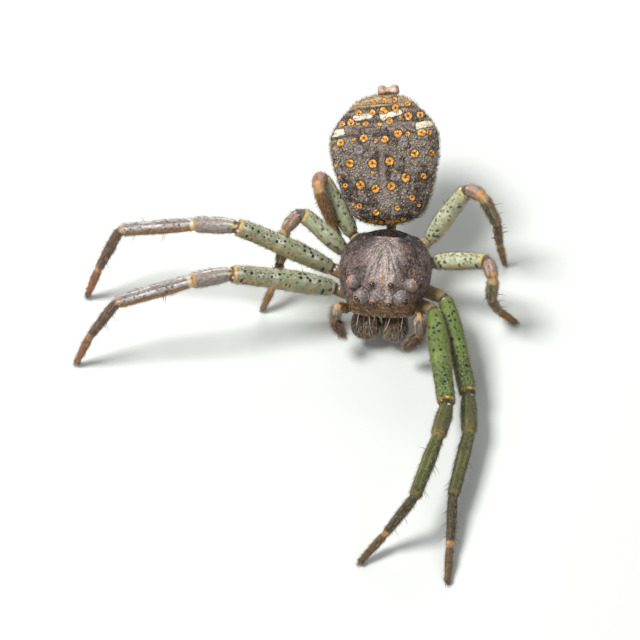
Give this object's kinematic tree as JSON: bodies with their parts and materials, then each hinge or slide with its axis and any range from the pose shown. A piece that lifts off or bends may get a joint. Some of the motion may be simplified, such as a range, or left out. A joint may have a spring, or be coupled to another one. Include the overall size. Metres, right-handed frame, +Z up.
{
  "type": "crab spider",
  "caption": "Still, life-size crab spider standing on a flat floor: broad dark carapace with eye tubercles, raised spotted abdomen, front legs spread wide.",
  "frame": {"origin": "middle of the bounding box, on the floor the feet stand on", "axes": "+Z up; the head faces -Y and the abdomen points to +Y; +X is the spider's own left"},
  "size_m": [0.018, 0.021, 0.0057],
  "materials": {
    "coxa_skin": "satin",
    "femur_skin": "satin",
    "shin_skin": "satin",
    "foot_skin": "satin",
    "carapace_skin": "satin, fine radial down",
    "eye_lens": "gloss",
    "under_skin": "satin",
    "chelicera_skin": "satin",
    "palp_skin": "satin",
    "abdomen_skin": "matt, granular",
    "spinneret_skin": "matt"
  },
  "bodies": {
    "root": {"leg_r1_coxa": "coxa_skin", "leg_r1_femur": "femur_skin", "leg_r1_patella": "shin_skin", "leg_r1_tibia": "shin_skin", "leg_r1_foot": "foot_skin", "leg_r2_coxa": "coxa_skin", "leg_r2_femur": "femur_skin", "leg_r2_patella": "shin_skin", "leg_r2_tibia": "shin_skin", "leg_r2_foot": "foot_skin", "leg_r3_coxa": "coxa_skin", "leg_r3_femur": "femur_skin", "leg_r3_patella": "shin_skin", "leg_r3_tibia": "shin_skin", "leg_r3_foot": "foot_skin", "leg_r4_coxa": "coxa_skin", "leg_r4_femur": "femur_skin", "leg_r4_patella": "shin_skin", "leg_r4_tibia": "shin_skin", "leg_r4_foot": "foot_skin", "leg_l1_coxa": "coxa_skin", "leg_l1_femur": "femur_skin", "leg_l1_patella": "shin_skin", "leg_l1_tibia": "shin_skin", "leg_l1_foot": "foot_skin", "leg_l2_coxa": "coxa_skin", "leg_l2_femur": "femur_skin", "leg_l2_patella": "shin_skin", "leg_l2_tibia": "shin_skin", "leg_l2_foot": "foot_skin", "leg_l3_coxa": "coxa_skin", "leg_l3_femur": "femur_skin", "leg_l3_patella": "shin_skin", "leg_l3_tibia": "shin_skin", "leg_l3_foot": "foot_skin", "leg_l4_coxa": "coxa_skin", "leg_l4_femur": "femur_skin", "leg_l4_patella": "shin_skin", "leg_l4_tibia": "shin_skin", "leg_l4_foot": "foot_skin", "carapace": "carapace_skin", "eye_ame_r": "eye_lens", "eye_ame_l": "eye_lens", "eye_pme_r": "eye_lens", "eye_pme_l": "eye_lens", "eye_ale_r": "eye_lens", "eye_ale_l": "eye_lens", "eye_ple_r": "eye_lens", "eye_ple_l": "eye_lens", "sternum": "under_skin", "mouthparts": "under_skin", "chelicera_r": "chelicera_skin", "chelicera_l": "chelicera_skin", "palp_r_base": "palp_skin", "palp_r_end": "palp_skin", "palp_l_base": "palp_skin", "palp_l_end": "palp_skin", "pedicel": "under_skin", "abdomen": "abdomen_skin", "spinnerets": "spinneret_skin"}
  },
  "joints": []
}
